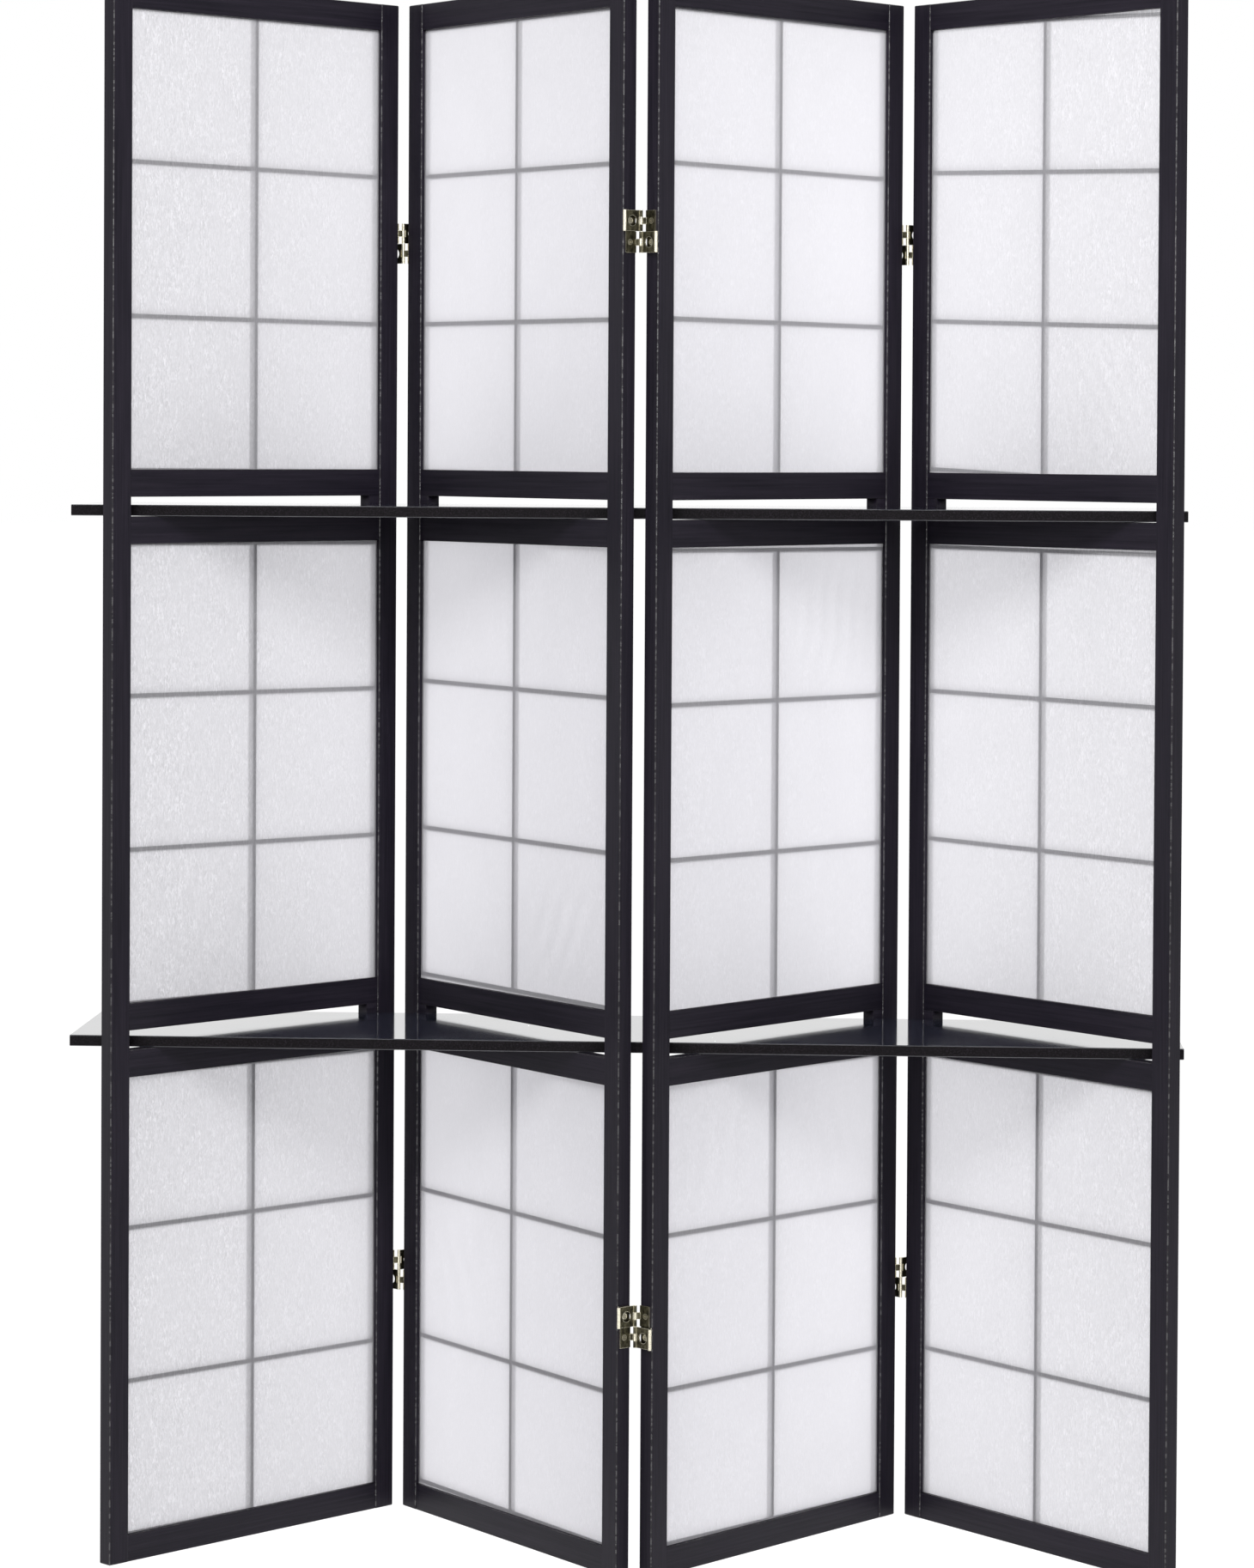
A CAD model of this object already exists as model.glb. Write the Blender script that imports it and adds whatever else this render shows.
"""The visual model of a four-panel folding screen with two shelf boards.

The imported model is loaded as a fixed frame. Each sub-assembly of the screen is a class that
builds its meshes in the frame's own metres, dresses them and lets them ride on the body that
carries them. Panels are numbered 1 to 4 from the left, and +Z is up. A panel's own
coordinates run along its width, its thickness from the front, and its height.
"""

import logging
import math
from collections.abc import Callable, Sequence
from dataclasses import dataclass, field
from enum import Enum

import bmesh
import bpy
import numpy as np
from mathutils import Matrix, Vector


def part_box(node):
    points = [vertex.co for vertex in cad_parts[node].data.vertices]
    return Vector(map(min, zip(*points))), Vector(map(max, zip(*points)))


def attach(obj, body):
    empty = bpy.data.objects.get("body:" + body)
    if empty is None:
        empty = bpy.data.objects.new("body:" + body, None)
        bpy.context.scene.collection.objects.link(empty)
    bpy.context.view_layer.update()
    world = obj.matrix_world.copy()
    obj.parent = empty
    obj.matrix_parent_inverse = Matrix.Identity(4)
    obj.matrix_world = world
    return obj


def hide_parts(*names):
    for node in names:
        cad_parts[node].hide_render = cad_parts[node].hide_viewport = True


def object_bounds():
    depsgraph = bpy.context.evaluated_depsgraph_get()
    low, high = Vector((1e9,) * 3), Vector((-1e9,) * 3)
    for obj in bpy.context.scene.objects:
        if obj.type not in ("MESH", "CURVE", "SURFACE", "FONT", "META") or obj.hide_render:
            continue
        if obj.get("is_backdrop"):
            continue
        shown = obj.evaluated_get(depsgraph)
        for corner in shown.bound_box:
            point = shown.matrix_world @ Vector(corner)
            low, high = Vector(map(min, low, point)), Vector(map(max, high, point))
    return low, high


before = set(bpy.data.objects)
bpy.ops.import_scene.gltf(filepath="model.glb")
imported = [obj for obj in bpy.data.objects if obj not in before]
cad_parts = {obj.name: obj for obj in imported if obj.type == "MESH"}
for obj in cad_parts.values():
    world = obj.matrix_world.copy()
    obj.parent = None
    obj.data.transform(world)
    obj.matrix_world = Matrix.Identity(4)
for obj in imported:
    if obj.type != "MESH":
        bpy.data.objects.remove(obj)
CAD_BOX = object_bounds()

GRAIN = "grain"
PHOTO_HEIGHT = 1826

log = logging.getLogger("folding_screen")

Point = tuple[float, float, float]
Colour = tuple[float, float, float, float]
Plan = tuple[float, float]
Socket = bpy.types.NodeSocket
Grain = Callable[[Vector], Vector]


class Slot(Enum):
    """The record's material slots."""

    WOOD = "stained_wood"
    BOARD = "shelf_board"
    PAPER = "shoji_paper"
    BRASS = "antique_brass"
    DOWEL = "dowel_wood"


class Side(Enum):
    """The two ends of a panel."""

    LEFT = "left"
    RIGHT = "right"


class NodeBoard:
    """A node tree under construction, with short calls for its nodes and links."""

    def __init__(self, tree: bpy.types.NodeTree) -> None:
        """Empties the node tree of a material or of the world."""
        self.tree = tree
        tree.nodes.clear()

    def add(self, kind: str, inputs: dict[str, object] | None = None, **settings: object) -> bpy.types.Node:
        """Adds a node.

        Args:
            kind: The node's type, without its ShaderNode prefix.
            inputs: Values or sockets for the node's inputs, by name or by number.
            settings: The node's own settings.

        Returns:
            The node.
        """
        node = self.tree.nodes.new("ShaderNode" + kind)
        for name, value in settings.items():
            setattr(node, name, value)
        for name, value in (inputs or {}).items():
            target = node.inputs[name]
            if isinstance(value, Socket):
                self.tree.links.new(value, target)
            else:
                target.default_value = value
        return node

    def noise(
        self, coords: Socket, scale: Point, detail: float = 3.0, rough: float = 0.55, warp: float = 0.0
    ) -> Socket:
        """Fractal noise stretched along the axes.

        Args:
            coords: Coordinates in metres.
            scale: Cells per metre along each axis.
            detail: Octaves of the noise.
            rough: How strongly the finer octaves show.
            warp: How far the noise bends its own cells.

        Returns:
            A value from 0 to 1.
        """
        scaled = self.add("VectorMath", {0: coords, 1: scale}, operation="MULTIPLY")
        settings = {"Scale": 1.0, "Detail": detail, "Roughness": rough, "Distortion": warp}
        return self.add("TexNoise", {"Vector": scaled.outputs[0], **settings}).outputs[0]

    def ramp(self, value: Socket, low: float, high: float, start: float = 0.0, end: float = 1.0) -> Socket:
        """Maps a value from low..high to start..end, and clamps it."""
        settings = {"From Min": low, "From Max": high, "To Min": start, "To Max": end}
        return self.add("MapRange", {"Value": value, **settings}).outputs[0]

    def mix(self, share: Socket | float, first: object, second: object) -> Socket:
        """Mixes two colours or sockets, of which share says how much of the second shows."""
        return self.add("Mix", {0: share, 6: first, 7: second}, data_type="RGBA").outputs[2]

    def maths(self, operation: str, first: object, second: object = 0.0) -> Socket:
        """The result of one operation on two values or sockets."""
        return self.add("Math", {0: first, 1: second}, operation=operation).outputs[0]

    def principled(self, inputs: dict[str, object]) -> Socket:
        """Adds a principled shader and gives its output."""
        return self.add("BsdfPrincipled", inputs).outputs[0]

    def grain(self) -> Socket:
        """A point's coordinates along the grain, in metres."""
        return self.add("Attribute", attribute_name=GRAIN).outputs["Vector"]

    def mid_ramp(self, value: Socket, start: float, end: float) -> Socket:
        """Maps the middle range of a noise to start..end."""
        return self.ramp(value, 0.3, 0.7, start, end)

    def background_share(self) -> Socket:
        """1 for rays that show the background to the eye, in a mirror or through glass, else 0."""
        path = self.add("LightPath")
        seen = self.maths("MAXIMUM", path.outputs["Is Camera Ray"], path.outputs["Is Glossy Ray"])
        return self.maths("MAXIMUM", seen, path.outputs["Is Transmission Ray"])

    def bump(self, height: Socket, depth: float, strength: float = 1.0) -> Socket:
        """A normal that follows a height, which is depth metres where it is 1."""
        return self.add("Bump", {"Height": height, "Distance": depth, "Strength": strength}).outputs[0]


def rgb(red: float, green: float, blue: float) -> Colour:
    """A linear colour with full alpha."""
    return (red, green, blue, 1.0)


def linked(name: str, data: bpy.types.ID) -> bpy.types.Object:
    """Makes an object and links it to the scene.

    Args:
        name: Its name.
        data: Its mesh, light or camera.

    Returns:
        The object.
    """
    made = bpy.data.objects.new(name, data)
    bpy.context.scene.collection.objects.link(made)
    return made


@dataclass(frozen=True)
class Finish:
    """A finish that a material is made of."""

    name: str

    def material(self) -> bpy.types.Material:
        """The material, made at its first use.

        Returns:
            The material of this finish.
        """
        found = bpy.data.materials.get(self.name)
        if found is not None:
            return found
        made = bpy.data.materials.new(self.name)
        made.use_nodes = True
        board = NodeBoard(made.node_tree)
        board.add("OutputMaterial", {"Surface": self.surface(board)})
        return made

    def surface(self, board: NodeBoard) -> Socket:
        """Builds the nodes on an empty node tree and gives the shader's output."""
        raise NotImplementedError


@dataclass(frozen=True)
class StainedWood(Finish):
    """Fine-grained wood under a near-black stain and a satin lacquer.

    Attributes:
        dark: Colour of the soft grain.
        light: Colour of the hard grain.
        gloss: Roughness of the lacquer.
        sheen_level: Strength of its reflection.
        chipped: Share of that reflection that small chips take away.
    """

    dark: Colour = rgb(0.0068, 0.0058, 0.0112)
    light: Colour = rgb(0.0260, 0.0212, 0.0330)
    gloss: float = 0.42
    sheen_level: float = 0.20
    chipped: float = 0.0

    def surface(self, board: NodeBoard) -> Socket:
        """Streaks, pores and brushed lacquer along the grain."""
        coords = board.grain()
        streaks = board.noise(coords, (420.0, 420.0, 9.0), 4.0)
        pores = board.noise(coords, (1900.0, 1900.0, 70.0), 2.0)
        clouds = board.noise(coords, (22.0, 22.0, 3.5), 2.0)
        tone = board.maths("ADD", board.mid_ramp(streaks, 0.0, 0.7), board.mid_ramp(clouds, 0.0, 0.3))
        colour = board.mix(tone, self.dark, self.light)
        colour = board.mix(board.ramp(pores, 0.60, 0.72, 0.0, 0.6), colour, self.dark)
        hollows = board.ramp(pores, 0.55, 0.75, 1.0, 0.0)
        height = board.maths("ADD", hollows, board.ramp(streaks, 0.2, 0.8, 0.0, 0.5))
        sheen: Socket | float = self.sheen_level
        if self.chipped > 0.0:
            chips = board.noise(coords, (60.0, 60.0, 210.0), 2.0)
            sheen = board.ramp(chips, 0.47, 0.56, (1.0 - self.chipped) * sheen, sheen)
        return board.principled({
            "Base Color": colour,
            "Roughness": board.mid_ramp(clouds, self.gloss - 0.05, self.gloss + 0.07),
            "Specular IOR Level": sheen,
            "Normal": board.bump(height, 0.00006, 0.6),
        })


@dataclass(frozen=True)
class GlossyFoil(Finish):
    """Black foil under a clear gloss coat, on the faces of a board.

    Attributes:
        colour: Colour of the foil.
        gloss: Roughness of the foil.
        speck: How many times lighter its specks are.
    """

    colour: Colour = rgb(0.0280, 0.0330, 0.0520)
    gloss: float = 0.10
    speck: float = 1.8

    def surface(self, board: NodeBoard) -> Socket:
        """A gloss coat with a faint orange peel and cloudy wear."""
        coords = board.grain()
        clouds = board.noise(coords, (9.0, 9.0, 9.0), 3.0)
        peel = board.noise(coords, (160.0, 160.0, 160.0), 2.0)
        specks = board.noise(coords, (900.0, 900.0, 900.0), 2.0)
        lighter = rgb(*(self.speck * c for c in self.colour[:3]))
        return board.principled({
            "Base Color": board.mix(board.ramp(specks, 0.62, 0.80), self.colour, lighter),
            "Roughness": board.mid_ramp(clouds, self.gloss - 0.03, self.gloss + 0.05),
            "Specular IOR Level": 0.2,
            "Coat Weight": 1.0,
            "Coat Roughness": 0.08,
            "Coat IOR": 1.62,
            "Normal": board.bump(peel, 0.00002, 0.15),
        })


@dataclass(frozen=True)
class EdgeBand(Finish):
    """Dark edge band with a fine pebbled texture, round a board.

    Attributes:
        colour: Colour of the band.
        gloss: Roughness of the band.
        rubbed: How many times lighter its pebbles' tops are.
    """

    colour: Colour = rgb(0.0036, 0.0028, 0.0038)
    gloss: float = 0.42
    rubbed: float = 6.0

    def surface(self, board: NodeBoard) -> Socket:
        """Pebbles whose tops are rubbed lighter."""
        coords = board.grain()
        pebbles = board.noise(coords, (900.0, 900.0, 900.0), 2.0)
        lighter = rgb(*(self.rubbed * c for c in self.colour[:3]))
        return board.principled({
            "Base Color": board.mix(board.ramp(pebbles, 0.48, 0.72), self.colour, lighter),
            "Roughness": self.gloss,
            "Specular IOR Level": 0.10,
            "Normal": board.bump(pebbles, 0.0001, 0.6),
        })


@dataclass(frozen=True)
class FibrePaper(Finish):
    """Fibrous white paper that lets light through.

    Attributes:
        fibres: How strongly the fibres show.
        plain_end: Where across the panel they are faintest.
        strong_end: Where across the panel they are strongest.
        reflected: Share of the front light that it sends back.
        let_through: Share of the light from behind that it lets through.
        shade: How light this lot of paper is.
        tint: Faint tint of the pulp.
    """

    fibres: float = 0.4
    plain_end: float = 0.36
    strong_end: float = 0.06
    reflected: float = 0.42
    let_through: float = 0.474
    shade: float = 1.0
    tint: Point = (0.998, 0.989, 1.030)

    def surface(self, board: NodeBoard) -> Socket:
        """Short wavy fibres in a thin, cloudy sheet."""
        coords = board.grain()
        strands = board.noise(coords, (500.0, 500.0, 150.0), 3.0, 0.62, 1.2)
        wisps = board.noise(coords, (70.0, 70.0, 26.0), 2.0)
        pulp = board.noise(coords, (16.0, 16.0, 12.0), 3.0)
        across = board.add("SeparateXYZ", {"Vector": coords}).outputs["X"]
        strength = board.ramp(across, self.plain_end, self.strong_end, 0.45 * self.fibres, self.fibres)
        strength = board.maths("MULTIPLY", strength, board.ramp(wisps, 0.35, 0.65, 0.16, 0.36))
        thin = board.ramp(strands, 0.50, 0.30, 0.0, 0.55)
        swing = board.maths("SUBTRACT", board.ramp(strands, 0.50, 0.70), thin)
        level = board.maths("ADD", board.maths("MULTIPLY", swing, strength), 1.0)
        level = board.maths("ADD", level, board.mid_ramp(pulp, -0.012, 0.012))
        normal = board.bump(strands, 0.0002, 0.25 * self.fibres)
        ways = {}
        shares = (("BsdfDiffuse", self.reflected), ("BsdfTranslucent", self.let_through))
        for number, (kind, share) in enumerate(shares):
            full = tuple(self.shade * share * c for c in self.tint)
            colour = board.add("VectorMath", {0: full, "Scale": level}, operation="SCALE").outputs[0]
            ways[number] = board.add(kind, {"Color": colour, "Normal": normal}).outputs[0]
        return board.add("AddShader", ways).outputs[0]


@dataclass(frozen=True)
class AntiqueBrass(Finish):
    """Stamped steel in an antique brass plating, darkened in its hollows and rubbed bright.

    Attributes:
        barrels: Where the barrels' axes stand at rest. The barrels are rubbed all over.
        barrel_radius: Radius of a barrel.
        along: Direction that the plates face at rest. Their sides are rubbed too.
        rubbing: Share that is rubbed bright elsewhere.
        dark: Colour of the patina.
        dull: Colour of its paler clouds.
        bright: Colour of the rubbed plating.
    """

    barrels: tuple[Plan, ...] = ()
    barrel_radius: float = 0.0019
    along: Plan | None = None
    rubbing: float = 0.0
    dark: Colour = rgb(0.032, 0.029, 0.020)
    dull: Colour = rgb(0.150, 0.138, 0.088)
    bright: Colour = rgb(0.93, 0.88, 0.71)

    def barrel_share(self, board: NodeBoard, coords: Socket) -> Socket:
        """How far a point lies on one of the barrels.

        Args:
            board: The node tree.
            coords: Coordinates at rest.

        Returns:
            1 on a barrel and 0 off it.
        """
        found = board.maths("ADD", 0.0, self.rubbing)
        inner, outer = (self.barrel_radius * share for share in (1.04, 1.10))
        for x, y in self.barrels:
            flat = board.add("VectorMath", {0: coords, 1: (1.0, 1.0, 0.0)}, operation="MULTIPLY")
            away = board.add("VectorMath", {0: flat.outputs[0], 1: (x, y, 0.0)}, operation="DISTANCE")
            near = board.ramp(away.outputs["Value"], inner, outer, 1.0, 0.0)
            found = board.maths("MAXIMUM", found, near)
        return found

    def side_share(self, board: NodeBoard, normal: Socket) -> Socket | float:
        """How far a point lies on the thin side of a plate.

        Args:
            board: The node tree.
            normal: The surface's normal.

        Returns:
            1 on a side and 0 on a plate's face.
        """
        if self.along is None:
            return 0.0
        ways = {"vector_type": "NORMAL", "convert_from": "WORLD", "convert_to": "OBJECT"}
        own = board.add("VectorTransform", {"Vector": normal}, **ways)
        facing = board.add("VectorMath", {0: own.outputs[0], 1: (*self.along, 0.0)}, operation="DOT_PRODUCT")
        return board.ramp(board.maths("ABSOLUTE", facing.outputs["Value"]), 0.5, 0.2, 0.0, 0.9)

    def surface(self, board: NodeBoard) -> Socket:
        """Cloudy patina with bright barrels, sides and edges."""
        coords = board.add("TexCoord").outputs["Object"]
        clouds = board.noise(coords, (330.0, 330.0, 190.0), 3.0, 0.6)
        grime = board.noise(coords, (900.0, 900.0, 900.0), 2.0)
        eased = board.add("Bevel", {"Radius": 0.0009}, samples=4).outputs[0]
        flat = board.add("NewGeometry").outputs["Normal"]
        same = board.add("VectorMath", {0: eased, 1: flat}, operation="DOT_PRODUCT").outputs["Value"]
        edge = board.maths("MAXIMUM", board.ramp(same, 0.992, 0.88), self.side_share(board, flat))
        rubbed = board.maths("MAXIMUM", edge, self.barrel_share(board, coords))
        worn = board.maths("MULTIPLY", rubbed, board.ramp(grime, 0.32, 0.55, 0.62, 1.0))
        patina = board.mix(board.ramp(clouds, 0.36, 0.70), self.dark, self.dull)
        return board.principled({
            "Base Color": board.mix(worn, patina, self.bright),
            "Metallic": 1.0,
            "Roughness": board.ramp(worn, 0.0, 1.0, 0.45, 0.28),
            "Normal": board.bump(grime, 0.00006, 0.4),
        })


@dataclass(frozen=True)
class BeechWood(Finish):
    """Plain turned beech for the dowels.

    Attributes:
        pale: Colour of the wood.
        fleck: Colour of its flecks.
    """

    pale: Colour = rgb(0.56, 0.39, 0.23)
    fleck: Colour = rgb(0.44, 0.28, 0.15)

    def surface(self, board: NodeBoard) -> Socket:
        """Short flecks along the dowels."""
        coords = board.add("TexCoord").outputs["Object"]
        flecks = board.noise(coords, (300.0, 300.0, 900.0), 3.0)
        return board.principled({
            "Base Color": board.mix(board.ramp(flecks, 0.35, 0.7), self.pale, self.fleck),
            "Roughness": 0.6,
            "Normal": board.bump(flecks, 0.00005, 0.4),
        })


@dataclass(frozen=True)
class StudioFloor(Finish):
    """Pale floor that looks white and still keeps the object's shadow.

    Attributes:
        pale: Share of the light that it sends back.
        lift: White that it adds where it is looked at or mirrored.
    """

    pale: float = 0.30
    lift: float = 0.95

    def surface(self, board: NodeBoard) -> Socket:
        """An even pale floor with the background's white added for the eye."""
        lifted = board.maths("MULTIPLY", board.background_share(), self.lift)
        matt = board.add("BsdfDiffuse", {"Color": rgb(self.pale, self.pale, self.pale)})
        white = board.add("Emission", {"Color": rgb(1.0, 1.0, 1.0), "Strength": lifted})
        return board.add("AddShader", {0: matt.outputs[0], 1: white.outputs[0]}).outputs[0]


WOOD = StainedWood("black_stain")
ARRIS = StainedWood(
    "black_stain_arris", light=rgb(0.05, 0.046, 0.053), gloss=0.18, sheen_level=1.0, chipped=0.75
)
BOARD_FACE = GlossyFoil("black_foil_face")
BOARD_ARRIS = GlossyFoil("black_foil_arris", colour=rgb(0.045, 0.047, 0.058), gloss=0.2)
BOARD_EDGE = EdgeBand("black_edge_band")
SCREW_BRASS = AntiqueBrass("rubbed_screw_brass", rubbing=0.22)
PIN_BRASS = AntiqueBrass("rubbed_pin_brass", rubbing=0.9)
BEECH = BeechWood("turned_beech")
FLOOR = StudioFloor("white_floor")


@dataclass
class MeshDraft:
    """A mesh that is put together from several pieces of timber or foil.

    Attributes:
        points: Corners, in the row frame.
        faces: Corner numbers of each face.
        slots: Material slot of each face.
        grain: Coordinates along the grain at each corner.
    """

    points: list[Vector] = field(default_factory=list)
    faces: list[list[int]] = field(default_factory=list)
    slots: list[int] = field(default_factory=list)
    grain: list[Vector] = field(default_factory=list)

    def take(self, made: bmesh.types.BMesh, place: Matrix, grain: Grain) -> None:
        """Adds a bmesh to the draft and frees it.

        Args:
            made: The bmesh, in the piece's own coordinates.
            place: The piece's own coordinates to the row frame.
            grain: Gives a point's coordinates along the grain.
        """
        start = len(self.points)
        made.verts.index_update()
        for vert in made.verts:
            self.points.append(place @ vert.co)
            self.grain.append(grain(vert.co))
        for face in made.faces:
            self.faces.append([start + v.index for v in face.verts])
            self.slots.append(face.material_index)
        made.free()

    def piece(self, name: str, finishes: Sequence[Finish], body: str, slot: Slot) -> bpy.types.Object:
        """Makes the object.

        Args:
            name: The piece's name.
            finishes: The finishes of its material slots.
            body: The body that it rides on.
            slot: The record's material slot.

        Returns:
            The object.
        """
        mesh = bpy.data.meshes.new(name)
        mesh.from_pydata([tuple(p) for p in self.points], [], self.faces)
        attribute = mesh.attributes.new(GRAIN, "FLOAT_VECTOR", "POINT")
        attribute.data.foreach_set("vector", np.array([tuple(g) for g in self.grain], np.float32).ravel())
        mesh.polygons.foreach_set("material_index", self.slots)
        mesh.polygons.foreach_set("use_smooth", [True] * len(self.faces))
        for finish in finishes:
            mesh.materials.append(finish.material())
        made = linked(name, mesh)
        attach(made, body)
        return made


def even_shading(piece: bpy.types.Object) -> None:
    """Keeps flat faces flat beside their eased edges."""
    modifier = piece.modifiers.new("even_shading", "WEIGHTED_NORMAL")
    modifier.keep_sharp = False
    modifier.weight = 80


class Shell:
    """A closed shell of flat faces whose corners are shared.

    Attributes:
        digits: Decimals of a metre to which two corners are the same point.
        sharp: Angle between two faces, in radians, from which their edge is rounded.
        parallel: Cosine of the angle within which an edge runs along a direction.
    """

    digits = 7
    sharp = 0.5
    parallel = 0.99

    def __init__(self) -> None:
        """Starts an empty shell."""
        self.mesh = bmesh.new()
        self.corners: dict[tuple[float, ...], bmesh.types.BMVert] = {}

    def corner(self, point: Point) -> bmesh.types.BMVert:
        """The shared corner at a point, made at its first use.

        Args:
            point: The point, in metres.

        Returns:
            The corner.
        """
        key = tuple(round(c, self.digits) for c in point)
        if key not in self.corners:
            self.corners[key] = self.mesh.verts.new(point)
        return self.corners[key]

    def face(self, points: Sequence[Point]) -> None:
        """Adds a flat face through its corners."""
        self.mesh.faces.new([self.corner(p) for p in points])

    def box(self, low: Point, high: Point) -> None:
        """Adds the box between its lowest and its highest corner."""
        (x0, y0, z0), (x1, y1, z1) = low, high
        self.prism([(y0, z0), (y1, z0), (y1, z1), (y0, z1)], x0, x1)

    def prism(self, outline: Sequence[Plan], x0: float, x1: float) -> None:
        """Adds a prism along X.

        Args:
            outline: Its section as points across and up.
            x0: Where it starts.
            x1: Where it ends.
        """
        for x in (x0, x1):
            self.face([(x, y, z) for y, z in outline])
        for (ya, za), (yb, zb) in zip(outline, [*outline[1:], outline[0]]):
            self.face([(x0, ya, za), (x1, ya, za), (x1, yb, zb), (x0, yb, zb)])

    def eased(self, width: float, along: Vector | None = None, segments: int = 3) -> bmesh.types.BMesh:
        """Rounds the edges, and gives the rounded faces the second material slot.

        Args:
            width: Width of the rounding.
            along: If given, only edges along this direction are rounded.
            segments: Faces across the rounding.

        Returns:
            The finished bmesh.
        """
        made = self.mesh
        bmesh.ops.recalc_face_normals(made, faces=made.faces)
        edges = [e for e in made.edges if len(e.link_faces) == 2 and e.calc_face_angle() > self.sharp]
        if along is not None:
            runs = {e: (e.verts[1].co - e.verts[0].co).normalized() for e in edges}
            edges = [e for e in edges if abs(runs[e] @ along) > self.parallel]
        rounded = bmesh.ops.bevel(
            made, geom=edges, offset=width, segments=segments, profile=0.5, affect="EDGES", clamp_overlap=True
        )
        for face in rounded["faces"]:
            face.material_index = 1
        return made


@dataclass(frozen=True)
class PanelSizes:
    """The sizes that the four panels share, in metres.

    Attributes:
        width: Width of a panel.
        thickness: Thickness of a panel.
        height: Height of a panel.
        stile: Width of a stile.
        rail: Height of a rail.
        rail_step: How far a rail's faces lie behind the stile's.
        slot: Height of a board's slot.
        block: Width of a spacer block.
        recess: How far the paper lies behind the front face.
        paper: Thickness of the paper.
        rebate: How far the rebate reaches past the window.
        reach: How far the grille and its paper reach past it.
        border: Width of the strips round the grille.
        bar: Width of a grille bar.
        grille: Thickness of the grille.
        windows: Windows above each other.
        columns: Panes side by side in a window.
        rows: Panes above each other in a window.
    """

    width: float = 0.405
    thickness: float = 0.0175
    height: float = 1.7
    stile: float = 0.026
    rail: float = 0.0295
    rail_step: float = 0.0012
    slot: float = 0.021
    block: float = 0.015
    recess: float = 0.0055
    paper: float = 0.0004
    rebate: float = 0.0035
    reach: float = 0.002
    border: float = 0.003
    bar: float = 0.005
    grille: float = 0.006
    windows: int = 3
    columns: int = 2
    rows: int = 3

    @property
    def window(self) -> float:
        """Height of a window."""
        taken = 2 * self.windows * self.rail + (self.windows - 1) * self.slot
        return (self.height - taken) / self.windows

    @property
    def section(self) -> float:
        """Height from one window's bottom rail to the next one's."""
        return self.window + 2 * self.rail + self.slot

    @property
    def inside(self) -> float:
        """Width between the stiles."""
        return self.width - 2 * self.stile

    @property
    def sheet(self) -> Plan:
        """Width and height of a paper and its grille."""
        return self.inside + 2 * self.reach, self.window + 2 * self.reach

    def window_bottom(self, section: int) -> float:
        """Height of a window's lower edge."""
        return section * self.section + self.rail

    def bars(self, size: float, count: int) -> list[Plan]:
        """The strips and bars of a grille along one side.

        Args:
            size: Length of that side.
            count: Panes along it.

        Returns:
            Where each strip or bar starts and ends.
        """
        pane = (size - 2 * self.border - (count - 1) * self.bar) / count
        found = [(0.0, self.border)]
        for number in range(1, count):
            start = self.border + number * pane + (number - 1) * self.bar
            found.append((start, start + self.bar))
        return [*found, (size - self.border, size)]


SECTIONS = {0: "bottom", 1: "middle", 2: "top"}
PANELS = (1, 2, 3, 4)
STILE_SEED = {Side.LEFT: 3, Side.RIGHT: 4}
RAIL_SEED, BLOCK_SEED, GRILLE_SEED = 10, 20, 30


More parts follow.
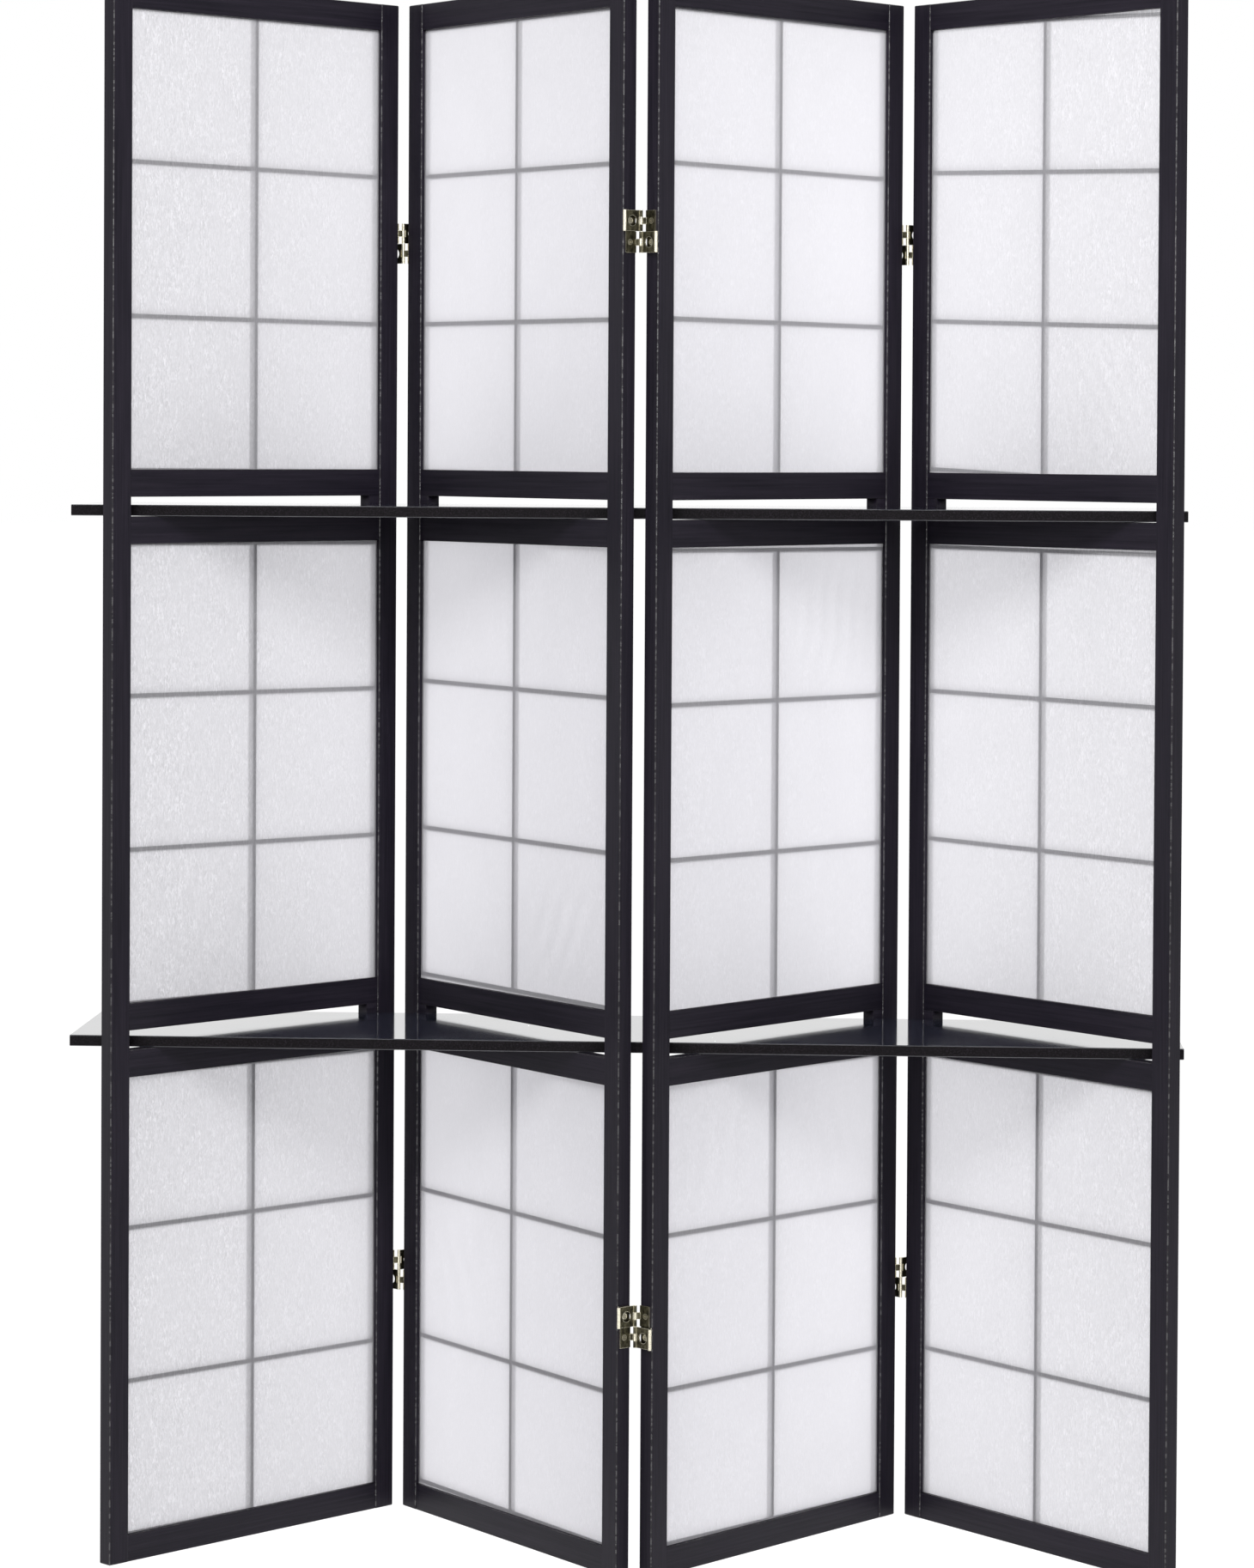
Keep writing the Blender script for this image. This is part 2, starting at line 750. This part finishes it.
@dataclass
class Panel:
    """One panel: stiles, rails, spacer blocks, grilles and papers.

    Attributes:
        number: The panel's number from the left.
        sizes: The sizes that the panels share.
        stile_ease: Width of the chamfer along a stile's edges.
        rail_ease: Width of the rounding along a rail's edges.
        block_ease: Width of the rounding along a spacer block's edges.
    """

    number: int
    sizes: PanelSizes
    stile_ease: float = 0.0011
    rail_ease: float = 0.0006
    block_ease: float = 0.0005

    @property
    def body(self) -> str:
        """The body that the panel rides on."""
        return f"panel_{self.number}"

    @property
    def lean(self) -> int:
        """1 where the panel's right end stands at the back, and -1 where its left end does."""
        return 1 if self.number % 2 else -1

    def name(self, piece: str) -> str:
        """A piece's or node's name with the panel's in front."""
        return f"{self.body}_{piece}"

    def place(self) -> Matrix:
        """Reads off the papers' box where the panel stands.

        Returns:
            The panel's own coordinates to the row frame.
        """
        sizes = self.sizes
        low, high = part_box(self.name("papers"))
        span = high - low
        long, thin = sizes.sheet[0], sizes.paper
        turn = self.lean * math.atan2(span.y * long - span.x * thin, span.x * long - span.y * thin)
        rotation = Matrix.Rotation(turn, 4, "Z")
        middle = Vector(((low.x + high.x) / 2, (low.y + high.y) / 2, 0.0))
        own_middle = Vector((sizes.width / 2, sizes.recess + thin / 2, 0.0))
        return Matrix.Translation(middle - rotation @ own_middle) @ rotation

    def grain(self, seed: int, upright: bool) -> Grain:
        """Coordinates along the grain of one length of timber.

        Args:
            seed: Number of the timber, which gives it a grain of its own.
            upright: Whether the grain runs up the panel or across it.

        Returns:
            The function that gives a point's coordinates.
        """
        shift = Vector((1.7 * seed + 0.31 * self.number, 0.9 * self.number, 2.3 * seed))
        if upright:
            return lambda p: p + shift
        return lambda p: Vector((p.z, p.y, p.x)) + shift

    def timber(
        self, parts: Sequence[tuple[bmesh.types.BMesh, Grain]], name: str, node: str, edge: Finish
    ) -> None:
        """Makes one piece of wood that stands in for a node.

        Args:
            parts: Its lengths of timber, each with its grain.
            name: The piece's name after the panel's.
            node: The node's name after the panel's.
            edge: The finish of its eased edges.
        """
        draft = MeshDraft()
        for made, grain in parts:
            draft.take(made, self.place(), grain)
        piece = draft.piece(self.name(name), [WOOD, edge], self.body, Slot.WOOD)
        even_shading(piece)
        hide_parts(self.name(node))

    def stile(self, side: Side) -> None:
        """Builds one stile with its rebates at the windows.

        Args:
            side: The end of the panel that it stands at.
        """
        s = self.sizes
        out, inn, cut = 0.0, s.stile, s.stile - s.rebate
        if side is Side.RIGHT:
            out, inn, cut = (s.width - x for x in (out, inn, cut))
        lip, back, top = s.recess, s.thickness, s.height
        starts = [s.window_bottom(n) for n in SECTIONS]
        notches = [(z - s.rebate, z + s.window + s.rebate) for z in starts]
        shell = Shell()
        shell.face([(out, 0, 0), (inn, 0, 0), (inn, 0, top), (out, 0, top)])
        shell.face([(out, 0, 0), (out, 0, top), (out, back, top), (out, back, 0)])
        shell.face([(out, 0, 0), (inn, 0, 0), (inn, back, 0), (out, back, 0)])
        shell.face([(out, 0, top), (inn, 0, top), (inn, back, top), (out, back, top)])
        edge: list[Point] = [(inn, 0, 0), (inn, back, 0)]
        rear: list[Point] = [(out, back, 0), (inn, back, 0)]
        for z0, z1 in notches:
            edge += [(inn, back, z0), (inn, lip, z0), (inn, lip, z1), (inn, back, z1)]
            rear += [(inn, back, z0), (cut, back, z0), (cut, back, z1), (inn, back, z1)]
            shell.face([(inn, lip, z0), (cut, lip, z0), (cut, lip, z1), (inn, lip, z1)])
            shell.face([(cut, lip, z0), (cut, back, z0), (cut, back, z1), (cut, lip, z1)])
            for z in (z0, z1):
                shell.face([(inn, lip, z), (inn, back, z), (cut, back, z), (cut, lip, z)])
        shell.face([*edge, (inn, back, top), (inn, 0, top)])
        shell.face([*rear, (inn, back, top), (out, back, top)])
        part = (shell.eased(self.stile_ease, segments=1), self.grain(STILE_SEED[side], True))
        self.timber([part], f"{side.value}_stile_timber", f"{side.value}_stile", ARRIS)

    def rails(self, section: int) -> None:
        """Builds the two rails of one window.

        Args:
            section: Number of the window from the bottom.
        """
        s = self.sizes
        lip, front, back = s.recess, s.rail_step, s.thickness - s.rail_step
        sill = s.window_bottom(section)
        head = sill + s.window
        outlines = {
            "lower": [
                (front, sill - s.rail), (back, sill - s.rail), (back, sill - s.rebate),
                (lip, sill - s.rebate), (lip, sill), (front, sill),
            ],
            "upper": [
                (front, head), (lip, head), (lip, head + s.rebate),
                (back, head + s.rebate), (back, head + s.rail), (front, head + s.rail),
            ],
        }
        for count, (which, outline) in enumerate(outlines.items()):
            shell = Shell()
            shell.prism(outline, s.stile, s.width - s.stile)
            made = shell.eased(self.rail_ease, Vector((1.0, 0.0, 0.0)))
            part = (made, self.grain(RAIL_SEED + 2 * section + count, False))
            window = SECTIONS[section]
            self.timber([part], f"{window}_window_{which}_rail", f"{window}_rails", ARRIS)

    def slot_blocks(self) -> None:
        """Builds the two blocks that fill the back ends of the slots."""
        s = self.sizes
        x = s.stile if self.lean < 0 else s.width - s.stile - s.block
        parts = []
        for slot in (1, 2):
            z = slot * s.section - s.slot
            shell = Shell()
            shell.box((x, s.rail_step, z), (x + s.block, s.thickness - s.rail_step, z + s.slot))
            made = shell.eased(self.block_ease, Vector((0.0, 0.0, 1.0)))
            parts.append((made, self.grain(BLOCK_SEED + slot, False)))
        self.timber(parts, "slot_spacers", "slot_blocks", ARRIS)

    def grilles(self) -> None:
        """Builds the grilles behind the papers."""
        parts = []
        for section in SECTIONS:
            made = Grille(self.sizes, section, SEATS[self.number, section]).build()
            parts.append((made, self.grain(GRILLE_SEED + section, True)))
        self.timber(parts, "window_grilles", "grilles", WOOD)

    def papers(self) -> None:
        """Builds the three sheets of paper."""
        for section in SECTIONS:
            PaperSheet(self, section).build()

    def build(self) -> None:
        """Builds the whole panel."""
        for side in Side:
            self.stile(side)
        for section in SECTIONS:
            self.rails(section)
        self.slot_blocks()
        self.grilles()
        self.papers()
        log.info("panel %d: stiles, rails, blocks, grilles and papers", self.number)


@dataclass(frozen=True)
class Seat:
    """How a grille sits behind its window, a little out of true.

    Attributes:
        drop: How far its middle hangs below its true height.
        fall: How far its bars fall across the window.
        sag: How much further its top strip hangs down.
    """

    drop: float
    fall: float
    sag: float = 0.0


SEATS = {
    (1, 0): Seat(0.001, 0.004), (1, 1): Seat(0.001, 0.0035, 0.001), (1, 2): Seat(0.0, 0.0015),
    (2, 0): Seat(-0.003, 0.004), (2, 1): Seat(-0.005, 0.0025), (2, 2): Seat(0.001, 0.0012),
    (3, 0): Seat(-0.001, 0.0045), (3, 1): Seat(0.0048, 0.002, 0.001), (3, 2): Seat(0.001, 0.0015),
    (4, 0): Seat(0.001, 0.0003), (4, 1): Seat(0.0015, 0.002, 0.0035), (4, 2): Seat(0.001, 0.0125),
}


@dataclass(frozen=True)
class Grille:
    """The grille of one window: strips round it, and bars that cross behind the paper.

    Attributes:
        sizes: The sizes that the panels share.
        section: Number of the window from the bottom.
        seat: How it sits behind the window.
        strip: Greatest width of a strip that has slipped.
        least: Least width of a strip.
        ease: Width of the rounding along its edges.
    """

    sizes: PanelSizes
    section: int
    seat: Seat
    strip: float = 0.0045
    least: float = 0.001
    ease: float = 0.0003

    def heights(self, x: float) -> list[float]:
        """Where the strips and level bars start and end at one place across the window.

        Args:
            x: The place along the panel's width.

        Returns:
            The heights, from the bottom up.
        """
        s = self.sizes
        base = s.window_bottom(self.section) - s.reach
        slip = -self.seat.drop - self.seat.fall * (x - s.width / 2) / s.inside
        found = [base + z + slip for bar in s.bars(s.sheet[1], s.rows) for z in bar]
        found[1] = max(found[1], base + self.least)
        found[0] = max(base, found[1] - self.strip)
        found[-2] = min(found[-2] - self.seat.sag, base + s.sheet[1] - self.least)
        found[-1] = min(base + s.sheet[1], found[-2] + self.strip)
        return found

    def build(self) -> bmesh.types.BMesh:
        """Builds it as one closed shell.

        Returns:
            The bmesh, in the panel's own coordinates.
        """
        s = self.sizes
        xs = [s.stile - s.reach + x for bar in s.bars(s.sheet[0], s.columns) for x in bar]
        levels = [self.heights(x) for x in xs]
        y0, y1 = s.recess + s.paper, s.recess + s.paper + s.grille
        shell = Shell()

        def solid(i: int, j: int) -> bool:
            """Whether a cell of the lattice holds wood."""
            inside = 0 <= i < len(xs) - 1 and 0 <= j < len(levels[0]) - 1
            return inside and (i % 2 == 0 or j % 2 == 0)

        for i in range(len(xs) - 1):
            for j in range(len(levels[0]) - 1):
                if not solid(i, j):
                    continue
                corners = [(xs[a], levels[a][b]) for a, b in ((i, j), (i + 1, j), (i + 1, j + 1), (i, j + 1))]
                for y in (y0, y1):
                    shell.face([(x, y, z) for x, z in corners])
                beside = ((i, j - 1), (i + 1, j), (i, j + 1), (i - 1, j))
                for (xa, za), (xb, zb), cell in zip(corners, [*corners[1:], corners[0]], beside):
                    if not solid(*cell):
                        shell.face([(xa, y0, za), (xb, y0, zb), (xb, y1, zb), (xa, y1, za)])
        return shell.eased(self.ease, segments=2)


PAPER = {
    1: FibrePaper("fibre_paper_1", fibres=0.8, shade=0.84),
    2: FibrePaper("fibre_paper_2", fibres=0.25, shade=0.97, plain_end=0.06, strong_end=0.36),
    3: FibrePaper("fibre_paper_3", fibres=0.30, shade=1.015),
    4: FibrePaper("fibre_paper_4", fibres=0.62, shade=0.93, plain_end=0.06, strong_end=0.36),
}


@dataclass(frozen=True)
class Wrinkles:
    """Soft wrinkles in the slack paper of one pane.

    Attributes:
        column: The pane's number from the left.
        row: The pane's number from the bottom.
        lean: How far they lean, in degrees clockwise.
        spacing: Distance from one wrinkle to the next.
        depth: How far they stand out.
        bend: How far they swing from a straight line.
        swing: Radians of that swing across the pane and up it.
        crest: Power that narrows their crests.
        hold: Power with which they rise from the pane's edges.
    """

    column: int
    row: int
    lean: float
    spacing: float = 0.022
    depth: float = 0.0007
    bend: float = 0.004
    swing: Plan = (3.0, 9.0)
    crest: float = 1.5
    hold: float = 0.8

    def rise(self, u: float, v: float, pane: Plan) -> float:
        """How far the paper stands out at a place in the pane.

        Args:
            u: Share of the pane's width, from the left.
            v: Share of its height, from the bottom.
            pane: Width and height of the pane.

        Returns:
            The rise towards the front.
        """
        if not (0.0 < u < 1.0 and 0.0 < v < 1.0):
            return 0.0
        slack = (math.sin(math.pi * u) * math.sin(math.pi * v)) ** self.hold
        turn = math.radians(self.lean)
        across = u * pane[0] * math.cos(turn) - v * pane[1] * math.sin(turn)
        across += self.bend * math.sin(self.swing[1] * v + self.swing[0] * u)
        wave = math.cos(2.0 * math.pi * across / self.spacing)
        return self.depth * slack * (0.5 + 0.5 * wave) ** self.crest


WRINKLES = {
    (4, 2): (Wrinkles(1, 0, -28.0), Wrinkles(1, 2, 30.0, 0.034, 0.0005)),
    (3, 0): (Wrinkles(0, 2, 12.0, 0.030, 0.0003), Wrinkles(1, 2, -14.0, 0.028, 0.0004)),
    (3, 1): (Wrinkles(1, 2, 10.0, 0.026, 0.0005),),
    (1, 1): (Wrinkles(0, 0, 35.0, 0.034, 0.0005),),
    (2, 1): (Wrinkles(1, 0, 32.0, 0.028, 0.0006),),
    (2, 0): (Wrinkles(0, 1, -18.0, 0.032, 0.0004),),
}


@dataclass
class PaperSheet:
    """One sheet of paper on the front of its grille.

    Attributes:
        panel: The panel that holds it.
        section: The window that it fills.
        step: Distance between the points of its mesh.
    """

    panel: Panel
    section: int
    step: float = 0.005

    def rise(self, x: float, z: float) -> float:
        """How far the paper stands out from the grille at a place.

        Args:
            x: The place from the sheet's left edge.
            z: The place from the sheet's lower edge.

        Returns:
            The rise towards the front.
        """
        s = self.panel.sizes
        total = 0.0
        for wrinkles in WRINKLES.get((self.panel.number, self.section), ()):
            column = s.bars(s.sheet[0], s.columns)[wrinkles.column : wrinkles.column + 2]
            row = s.bars(s.sheet[1], s.rows)[wrinkles.row : wrinkles.row + 2]
            left, bottom = column[0][1], row[0][1]
            pane = (column[1][0] - left, row[1][0] - bottom)
            total += wrinkles.rise((x - left) / pane[0], (z - bottom) / pane[1], pane)
        return total

    def build(self) -> None:
        s = self.panel.sizes
        wide, high = s.sheet
        across, up = round(wide / self.step), round(high / self.step)
        x0, z0 = s.stile - s.reach, s.window_bottom(self.section) - s.reach
        made = bmesh.new()
        grid = []
        for j in range(up + 1):
            line = []
            for i in range(across + 1):
                x, z = wide * i / across, high * j / up
                line.append(made.verts.new((x0 + x, s.recess + s.paper / 2 - self.rise(x, z), z0 + z)))
            grid.append(line)
        for lower, upper in zip(grid, grid[1:]):
            for i in range(across):
                made.faces.new([lower[i], lower[i + 1], upper[i + 1], upper[i]])
        draft = MeshDraft()
        number = self.panel.number
        lot = Vector((0.0, 0.9 * number, 3.1 * self.section + 0.7 * number))
        draft.take(made, self.panel.place(), lambda p: p + lot)
        name = self.panel.name(f"{SECTIONS[self.section]}_paper")
        piece = draft.piece(name, [PAPER[number]], self.panel.body, Slot.PAPER)
        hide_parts(self.panel.name("papers"))
        self.panel.name("window_grilles")


@dataclass
class ShelfBoard:
    """A shelf board that lies in the slots.

    Attributes:
        node: The board's node, which is also its body.
        ease: Width of the rounding along its edges.
        upright: How far a face of the edge band may lean, as a sine.
    """

    node: str
    ease: float = 0.0008
    upright: float = 0.2

    def build(self) -> None:
        """Builds the board in its foil."""
        low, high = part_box(self.node)
        shell = Shell()
        shell.box(tuple(low), tuple(high))
        draft = MeshDraft()
        shift = Vector((0.0, 0.0, 3.0 * low.z))
        finishes = [BOARD_FACE, BOARD_ARRIS, BOARD_EDGE]
        made = shell.eased(self.ease)
        for face in made.faces:
            if abs(face.normal.z) < self.upright:
                face.material_index = finishes.index(BOARD_EDGE)
        draft.take(made, Matrix.Identity(4), lambda p: p + shift)
        piece = draft.piece(f"{self.node}_board", finishes, self.node, Slot.BOARD)
        even_shading(piece)
        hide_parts(self.node)
        log.info("board %s", self.node)


@dataclass
class Hardware:
    """The hinges and the dowels, which keep their solids and get their finishes.

    Attributes:
        sizes: The sizes that the panels share.
        axis_out: Distance of a hinge axis from a stile's end face.
        axis_proud: Distance of a hinge axis outside the panel's faces.
    """

    sizes: PanelSizes
    axis_out: float = 0.0059
    axis_proud: float = 0.002

    def axes(self, panel: Panel, side: Side) -> tuple[Plan, ...]:
        """Where the two axes beside one end of a panel stand at rest.

        Args:
            panel: The panel.
            side: Its end.

        Returns:
            The axes in plan.
        """
        x = -self.axis_out if side is Side.LEFT else self.sizes.width + self.axis_out
        ends = (-self.axis_proud, self.sizes.thickness + self.axis_proud)
        return tuple(tuple((panel.place() @ Vector((x, y, 0.0))).to_2d()) for y in ends)

    def dress(self) -> None:
        """Gives each node of the hinges and dowels its finish."""
        for number in PANELS:
            panel = Panel(number, self.sizes)
            along = tuple(panel.place().to_3x3().col[0].to_2d())
            front: list[Plan] = []
            for side in Side:
                leaves = panel.name(f"{side.value}_hinge_leaves")
                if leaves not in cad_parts:
                    continue
                axes = self.axes(panel, side)
                front.append(axes[0])
                finish = AntiqueBrass(panel.name(f"{side.value}_leaf_brass"), barrels=axes, along=along)
                self.give(leaves, finish)
            link = AntiqueBrass(panel.name("link_brass"), barrels=tuple(front), along=along)
            self.give(panel.name("hinge_links"), link)
            self.give(panel.name("hinge_screws"), SCREW_BRASS)
            self.give(panel.name("idle_pins"), PIN_BRASS)
            self.give(panel.name("dowels"), BEECH, Slot.DOWEL)
        for axis in ("left", "middle", "right"):
            self.give(f"{axis}_axis_pins", PIN_BRASS)
        log.info("hinges and dowels")

    def give(self, name: str, finish: Finish, slot: Slot = Slot.BRASS) -> None:
        """Puts one finish on a node.

        Args:
            name: The node's name.
            finish: Its finish.
            slot: The record's material slot.
        """
        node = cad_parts[name]
        node.data.materials.clear()
        node.data.materials.append(finish.material())


@dataclass(frozen=True)
class PhotoCamera:
    """The camera at the photograph's viewing angle.

    Attributes:
        place: Where it stands, in metres.
        turn: How far it looks to the left, in degrees.
        dip: How far it looks down, in degrees.
        roll: How far it leans, in degrees.
        focal_px: Focal length in pixels of the photograph.
        axis_row: Row of the photograph that the optical axis meets.
        sensor: Length of the sensor's long side, in millimetres.
    """

    place: Point = (0.2582, -4.8784, 1.2068)
    turn: float = 3.08
    dip: float = 1.2
    roll: float = 0.31
    focal_px: float = 5197.8
    axis_row: float = 626.1
    sensor: float = 36.0

    def build(self) -> None:
        """Makes the scene's camera."""
        data = bpy.data.cameras.new("camera")
        data.sensor_width = self.sensor
        data.lens = self.focal_px / PHOTO_HEIGHT * self.sensor
        data.shift_y = (self.axis_row - PHOTO_HEIGHT / 2) / PHOTO_HEIGHT
        made = linked("camera", data)
        stand = Matrix.Translation(self.place)
        for angle, axis in ((self.turn, "Z"), (90.0 - self.dip, "X"), (self.roll, "Z")):
            stand = stand @ Matrix.Rotation(math.radians(angle), 4, axis)
        made.matrix_world = stand
        bpy.context.scene.camera = made


@dataclass(frozen=True)
class SoftBox:
    """A square soft light near the object.

    Attributes:
        name: Its name.
        place: Where it hangs, in metres.
        target: What it points at, in metres.
        size: Its width and height, in metres.
        level: How bright it makes a white card at the target that faces it.
    """

    name: str
    place: Point
    target: Point
    size: Plan
    level: float

    def build(self) -> None:
        """Makes the light."""
        data = bpy.data.lights.new(self.name, "AREA")
        data.shape = "RECTANGLE"
        data.size, data.size_y = self.size
        way = Vector(self.target) - Vector(self.place)
        data.energy = self.level * math.pi**2 * way.length_squared
        made = linked(self.name, data)
        made.location = self.place
        made.rotation_euler = way.to_track_quat("-Z", "Y").to_euler()
        made.visible_glossy = False


@dataclass(frozen=True)
class SoftLight:
    """A wide soft light, so far off that it is even over the whole studio.

    Attributes:
        name: Its name.
        way: The way its light goes.
        spread: How wide it looks from the object, in degrees.
        level: How bright it makes a white card that faces it.
        mirrored: Whether it shows in glossy surfaces.
    """

    name: str
    way: Point
    spread: float
    level: float
    mirrored: bool = False

    def build(self) -> None:
        """Makes the light."""
        data = bpy.data.lights.new(self.name, "SUN")
        data.angle = math.radians(self.spread)
        data.energy = self.level * math.pi
        made = linked(self.name, data)
        made.rotation_euler = Vector(self.way).to_track_quat("-Z", "Y").to_euler()
        made.visible_glossy = self.mirrored


@dataclass(frozen=True)
class Studio:
    """Floor, backdrop and light.

    Attributes:
        fill: Level of the light from the walls all round.
        ceiling: How bright the ceiling is beside the walls.
        wall_top: Sine of the angle up to which the walls reach.
        ceiling_edge: Sine of the angle at which the ceiling begins.
        room: How bright the room is beside the backdrop.
        room_edge: Cosine of the angle at which the dim room ends.
        backdrop_edge: Cosine of the angle at which the backdrop begins.
        floor_reach: Half the floor's width, in metres.
        lights: The lights.
    """

    fill: float = 0.35
    ceiling: float = 0.25
    wall_top: float = 0.30
    ceiling_edge: float = 0.75
    room: float = 0.5
    room_edge: float = 0.1
    backdrop_edge: float = 0.6
    floor_reach: float = 60.0
    lights: tuple[SoftBox | SoftLight, ...] = (
        SoftBox("key_light", (0.0, -2.8, 3.0), (0.0, 0.0, 1.2), (1.4, 1.1), 0.66),
        SoftLight("front_light", (0.0, 1.0, -0.03), 24.0, 0.20, mirrored=True),
        SoftLight("left_light", (1.15, 1.0, -0.03), 20.0, 0.08, mirrored=True),
        SoftLight("right_light", (-0.93, 1.0, -0.03), 20.0, 0.15, mirrored=True),
        SoftLight("back_light", (0.0, -1.0, -0.12), 12.0, 0.70),
        SoftLight("top_light", (0.0, 0.0, -1.0), 50.0, 0.03),
    )

    def world(self) -> None:
        """A white backdrop in a dimmer room with a dim ceiling, and plain white for the eye."""
        world = bpy.data.worlds.new("studio")
        world.use_nodes = True
        bpy.context.scene.world = world
        board = NodeBoard(world.node_tree)
        level = board.ramp(board.background_share(), 0.0, 1.0, self.fill, 1.0)
        way = board.add("TexCoord").outputs["Generated"]
        parts = board.add("SeparateXYZ", {"Vector": way})
        walls = board.ramp(parts.outputs["Z"], self.wall_top, self.ceiling_edge, 1.0, self.ceiling)
        room = board.ramp(parts.outputs["Y"], self.room_edge, self.backdrop_edge, self.room, 1.0)
        eye = board.add("LightPath").outputs["Is Camera Ray"]
        seen = board.maths("MULTIPLY", level, board.maths("MULTIPLY", walls, room))
        strength = board.maths("MAXIMUM", seen, eye)
        sky = board.add("Background", {"Color": rgb(1.0, 1.0, 1.0), "Strength": strength})
        board.add("OutputWorld", {"Surface": sky.outputs[0]})

    def floor(self) -> None:
        """A wide white floor."""
        reach = self.floor_reach
        mesh = bpy.data.meshes.new("floor")
        corners = [(-reach, -reach, 0), (reach, -reach, 0), (reach, reach, 0), (-reach, reach, 0)]
        mesh.from_pydata(corners, [], [(0, 1, 2, 3)])
        mesh.materials.append(FLOOR.material())
        linked("floor", mesh)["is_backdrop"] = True

    def build(self) -> None:
        """Makes floor, surround and lights."""
        self.world()
        self.floor()
        for light in self.lights:
            light.build()
        bpy.context.scene.view_settings.view_transform = "Standard"
        log.info("studio")


def write_sizes() -> None:
    """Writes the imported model's box and the visual model's box as plain lists."""
    boxes = {"cad": CAD_BOX, "visual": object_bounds()}
    {name: [list(corner) for corner in box] for name, box in boxes.items()}


def main() -> None:
    """Builds the studio and the screen, piece by piece."""
    logging.basicConfig(level=logging.INFO, format="%(name)s: %(message)s")
    PhotoCamera().build()
    Studio().build()
    sizes = PanelSizes()
    for number in PANELS:
        Panel(number, sizes).build()
    for node in ("upper_shelf", "lower_shelf"):
        ShelfBoard(node).build()
    Hardware(sizes).dress()
    write_sizes()


if __name__ == "__main__":
    main()
